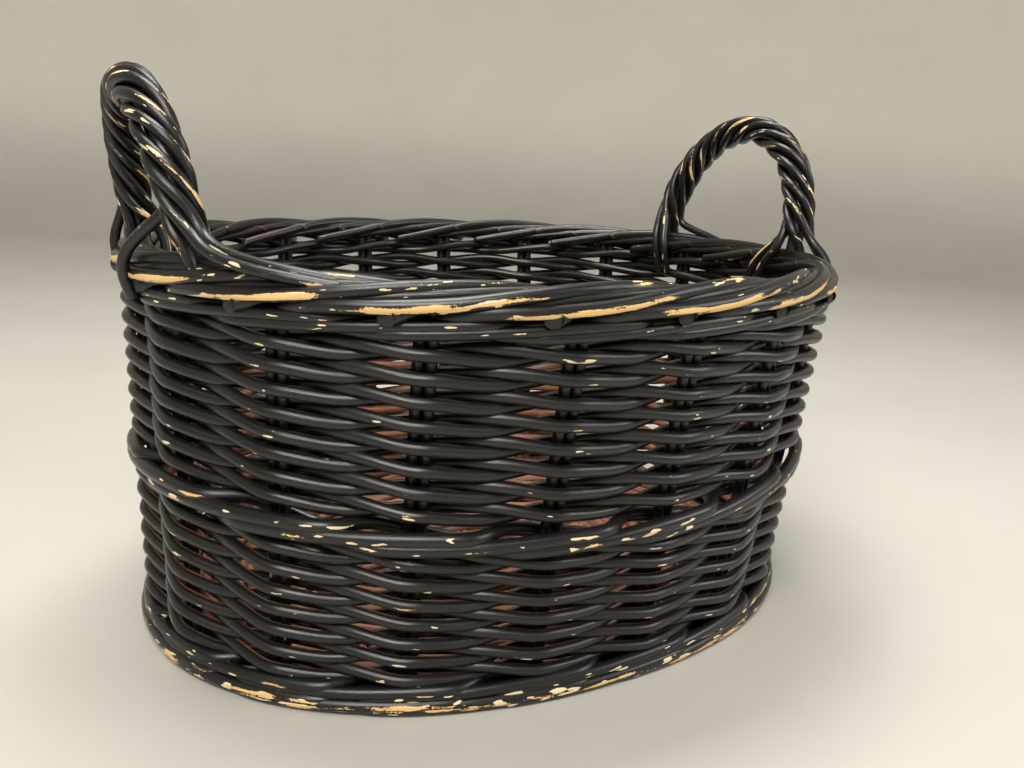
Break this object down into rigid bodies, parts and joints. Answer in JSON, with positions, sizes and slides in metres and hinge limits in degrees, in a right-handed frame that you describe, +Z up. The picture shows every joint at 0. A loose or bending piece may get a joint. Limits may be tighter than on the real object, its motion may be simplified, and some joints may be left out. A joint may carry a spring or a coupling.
{
  "type": "handled wicker basket",
  "caption": "Open oval cane basket with flared woven walls, a plaited rim, a raised foot and an upright rope-wrapped handle at each end.",
  "frame": {"origin": "middle of the footprint, on the floor", "axes": "+Z up, X along the basket's length from one handle to the other, Y across its width"},
  "size_m": [0.4683, 0.3992, 0.3275],
  "materials": {
    "painted_cane": "semi-gloss black paint, chipped to tan cane",
    "stake_cane": "thin dark paint over cane",
    "bare_cane": "bare reddish-brown cane"
  },
  "bodies": {
    "root": {"base_weave": "bare_cane", "base_cross_stick_1": "bare_cane", "base_cross_stick_2": "bare_cane", "base_cross_stick_3": "bare_cane", "base_cross_stick_4": "bare_cane", "base_cross_stick_5": "bare_cane", "base_runner_1": "bare_cane", "base_runner_2": "bare_cane", "stake_01": "stake_cane", "stake_02": "stake_cane", "stake_03": "stake_cane", "stake_04": "stake_cane", "stake_05": "stake_cane", "stake_06": "stake_cane", "stake_07": "stake_cane", "stake_08": "stake_cane", "stake_09": "stake_cane", "stake_10": "stake_cane", "stake_11": "stake_cane", "stake_12": "stake_cane", "stake_13": "stake_cane", "stake_14": "stake_cane", "stake_15": "stake_cane", "stake_16": "stake_cane", "stake_17": "stake_cane", "stake_18": "stake_cane", "foot_border": "painted_cane", "lower_row_1": "painted_cane", "lower_row_2": "painted_cane", "lower_row_3": "painted_cane", "lower_row_4": "painted_cane", "lower_row_5": "painted_cane", "lower_row_6": "painted_cane", "lower_row_7": "painted_cane", "mid_wale": "painted_cane", "upper_row_1": "painted_cane", "upper_row_2": "painted_cane", "upper_row_3": "painted_cane", "upper_row_4": "painted_cane", "upper_row_5": "painted_cane", "upper_row_6": "painted_cane", "upper_row_7": "painted_cane", "upper_row_8": "painted_cane", "top_wale": "painted_cane", "rim_border": "painted_cane", "left_handle_core": "stake_cane", "left_handle_strand_1": "painted_cane", "left_handle_strand_2": "painted_cane", "left_handle_strand_3": "painted_cane", "left_handle_strand_4": "painted_cane", "left_handle_strand_5": "painted_cane", "left_handle_strand_6": "painted_cane", "right_handle_core": "stake_cane", "right_handle_strand_1": "painted_cane", "right_handle_strand_2": "painted_cane", "right_handle_strand_3": "painted_cane", "right_handle_strand_4": "painted_cane", "right_handle_strand_5": "painted_cane", "right_handle_strand_6": "painted_cane"}
  },
  "joints": []
}
